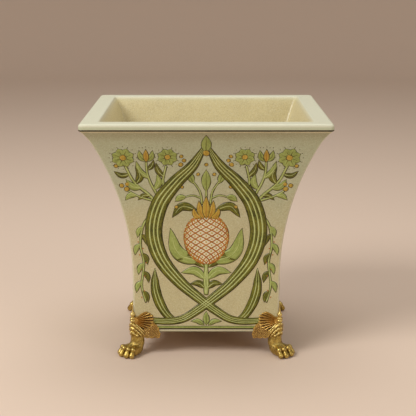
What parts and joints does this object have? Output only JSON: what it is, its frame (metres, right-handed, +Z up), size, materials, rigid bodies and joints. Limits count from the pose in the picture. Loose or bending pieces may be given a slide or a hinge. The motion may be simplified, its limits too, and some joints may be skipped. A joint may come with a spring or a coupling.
{
  "type": "cachepot",
  "caption": "Square cachepot that flares to a flat rim, glazed porcelain with painted faces, carried at its corners on gilt brass winged paw feet.",
  "frame": {"origin": "on the floor that the pot stands on, under the middle of the pot", "axes": "+Z up along the pot's axis of symmetry, -Y towards the front face, +X to the right of someone who looks at the front"},
  "size_m": [0.305, 0.305, 0.3075],
  "materials": {
    "porcelain": "glossy, crackled",
    "gilt_brass": "satin, dark in the recesses",
    "pad_rubber": "matte",
    "steel": "satin"
  },
  "bodies": {
    "root": {"porcelain_body": "porcelain", "paw_back_right": "gilt_brass", "paw_back_left": "gilt_brass", "paw_front_left": "gilt_brass", "paw_front_right": "gilt_brass", "wing_back_right_side": "gilt_brass", "wing_back_right_back": "gilt_brass", "wing_back_left_back": "gilt_brass", "wing_back_left_side": "gilt_brass", "wing_front_left_side": "gilt_brass", "wing_front_left_front": "gilt_brass", "wing_front_right_front": "gilt_brass", "wing_front_right_side": "gilt_brass", "seat_pad_back_right": "pad_rubber", "seat_pad_back_left": "pad_rubber", "seat_pad_front_left": "pad_rubber", "seat_pad_front_right": "pad_rubber", "stud_back_right": "steel", "stud_back_left": "steel", "stud_front_left": "steel", "stud_front_right": "steel", "seal_back_right": "pad_rubber", "seal_back_left": "pad_rubber", "seal_front_left": "pad_rubber", "seal_front_right": "pad_rubber", "washer_back_right": "steel", "washer_back_left": "steel", "washer_front_left": "steel", "washer_front_right": "steel", "nut_back_right": "steel", "nut_back_left": "steel", "nut_front_left": "steel", "nut_front_right": "steel"}
  },
  "joints": []
}
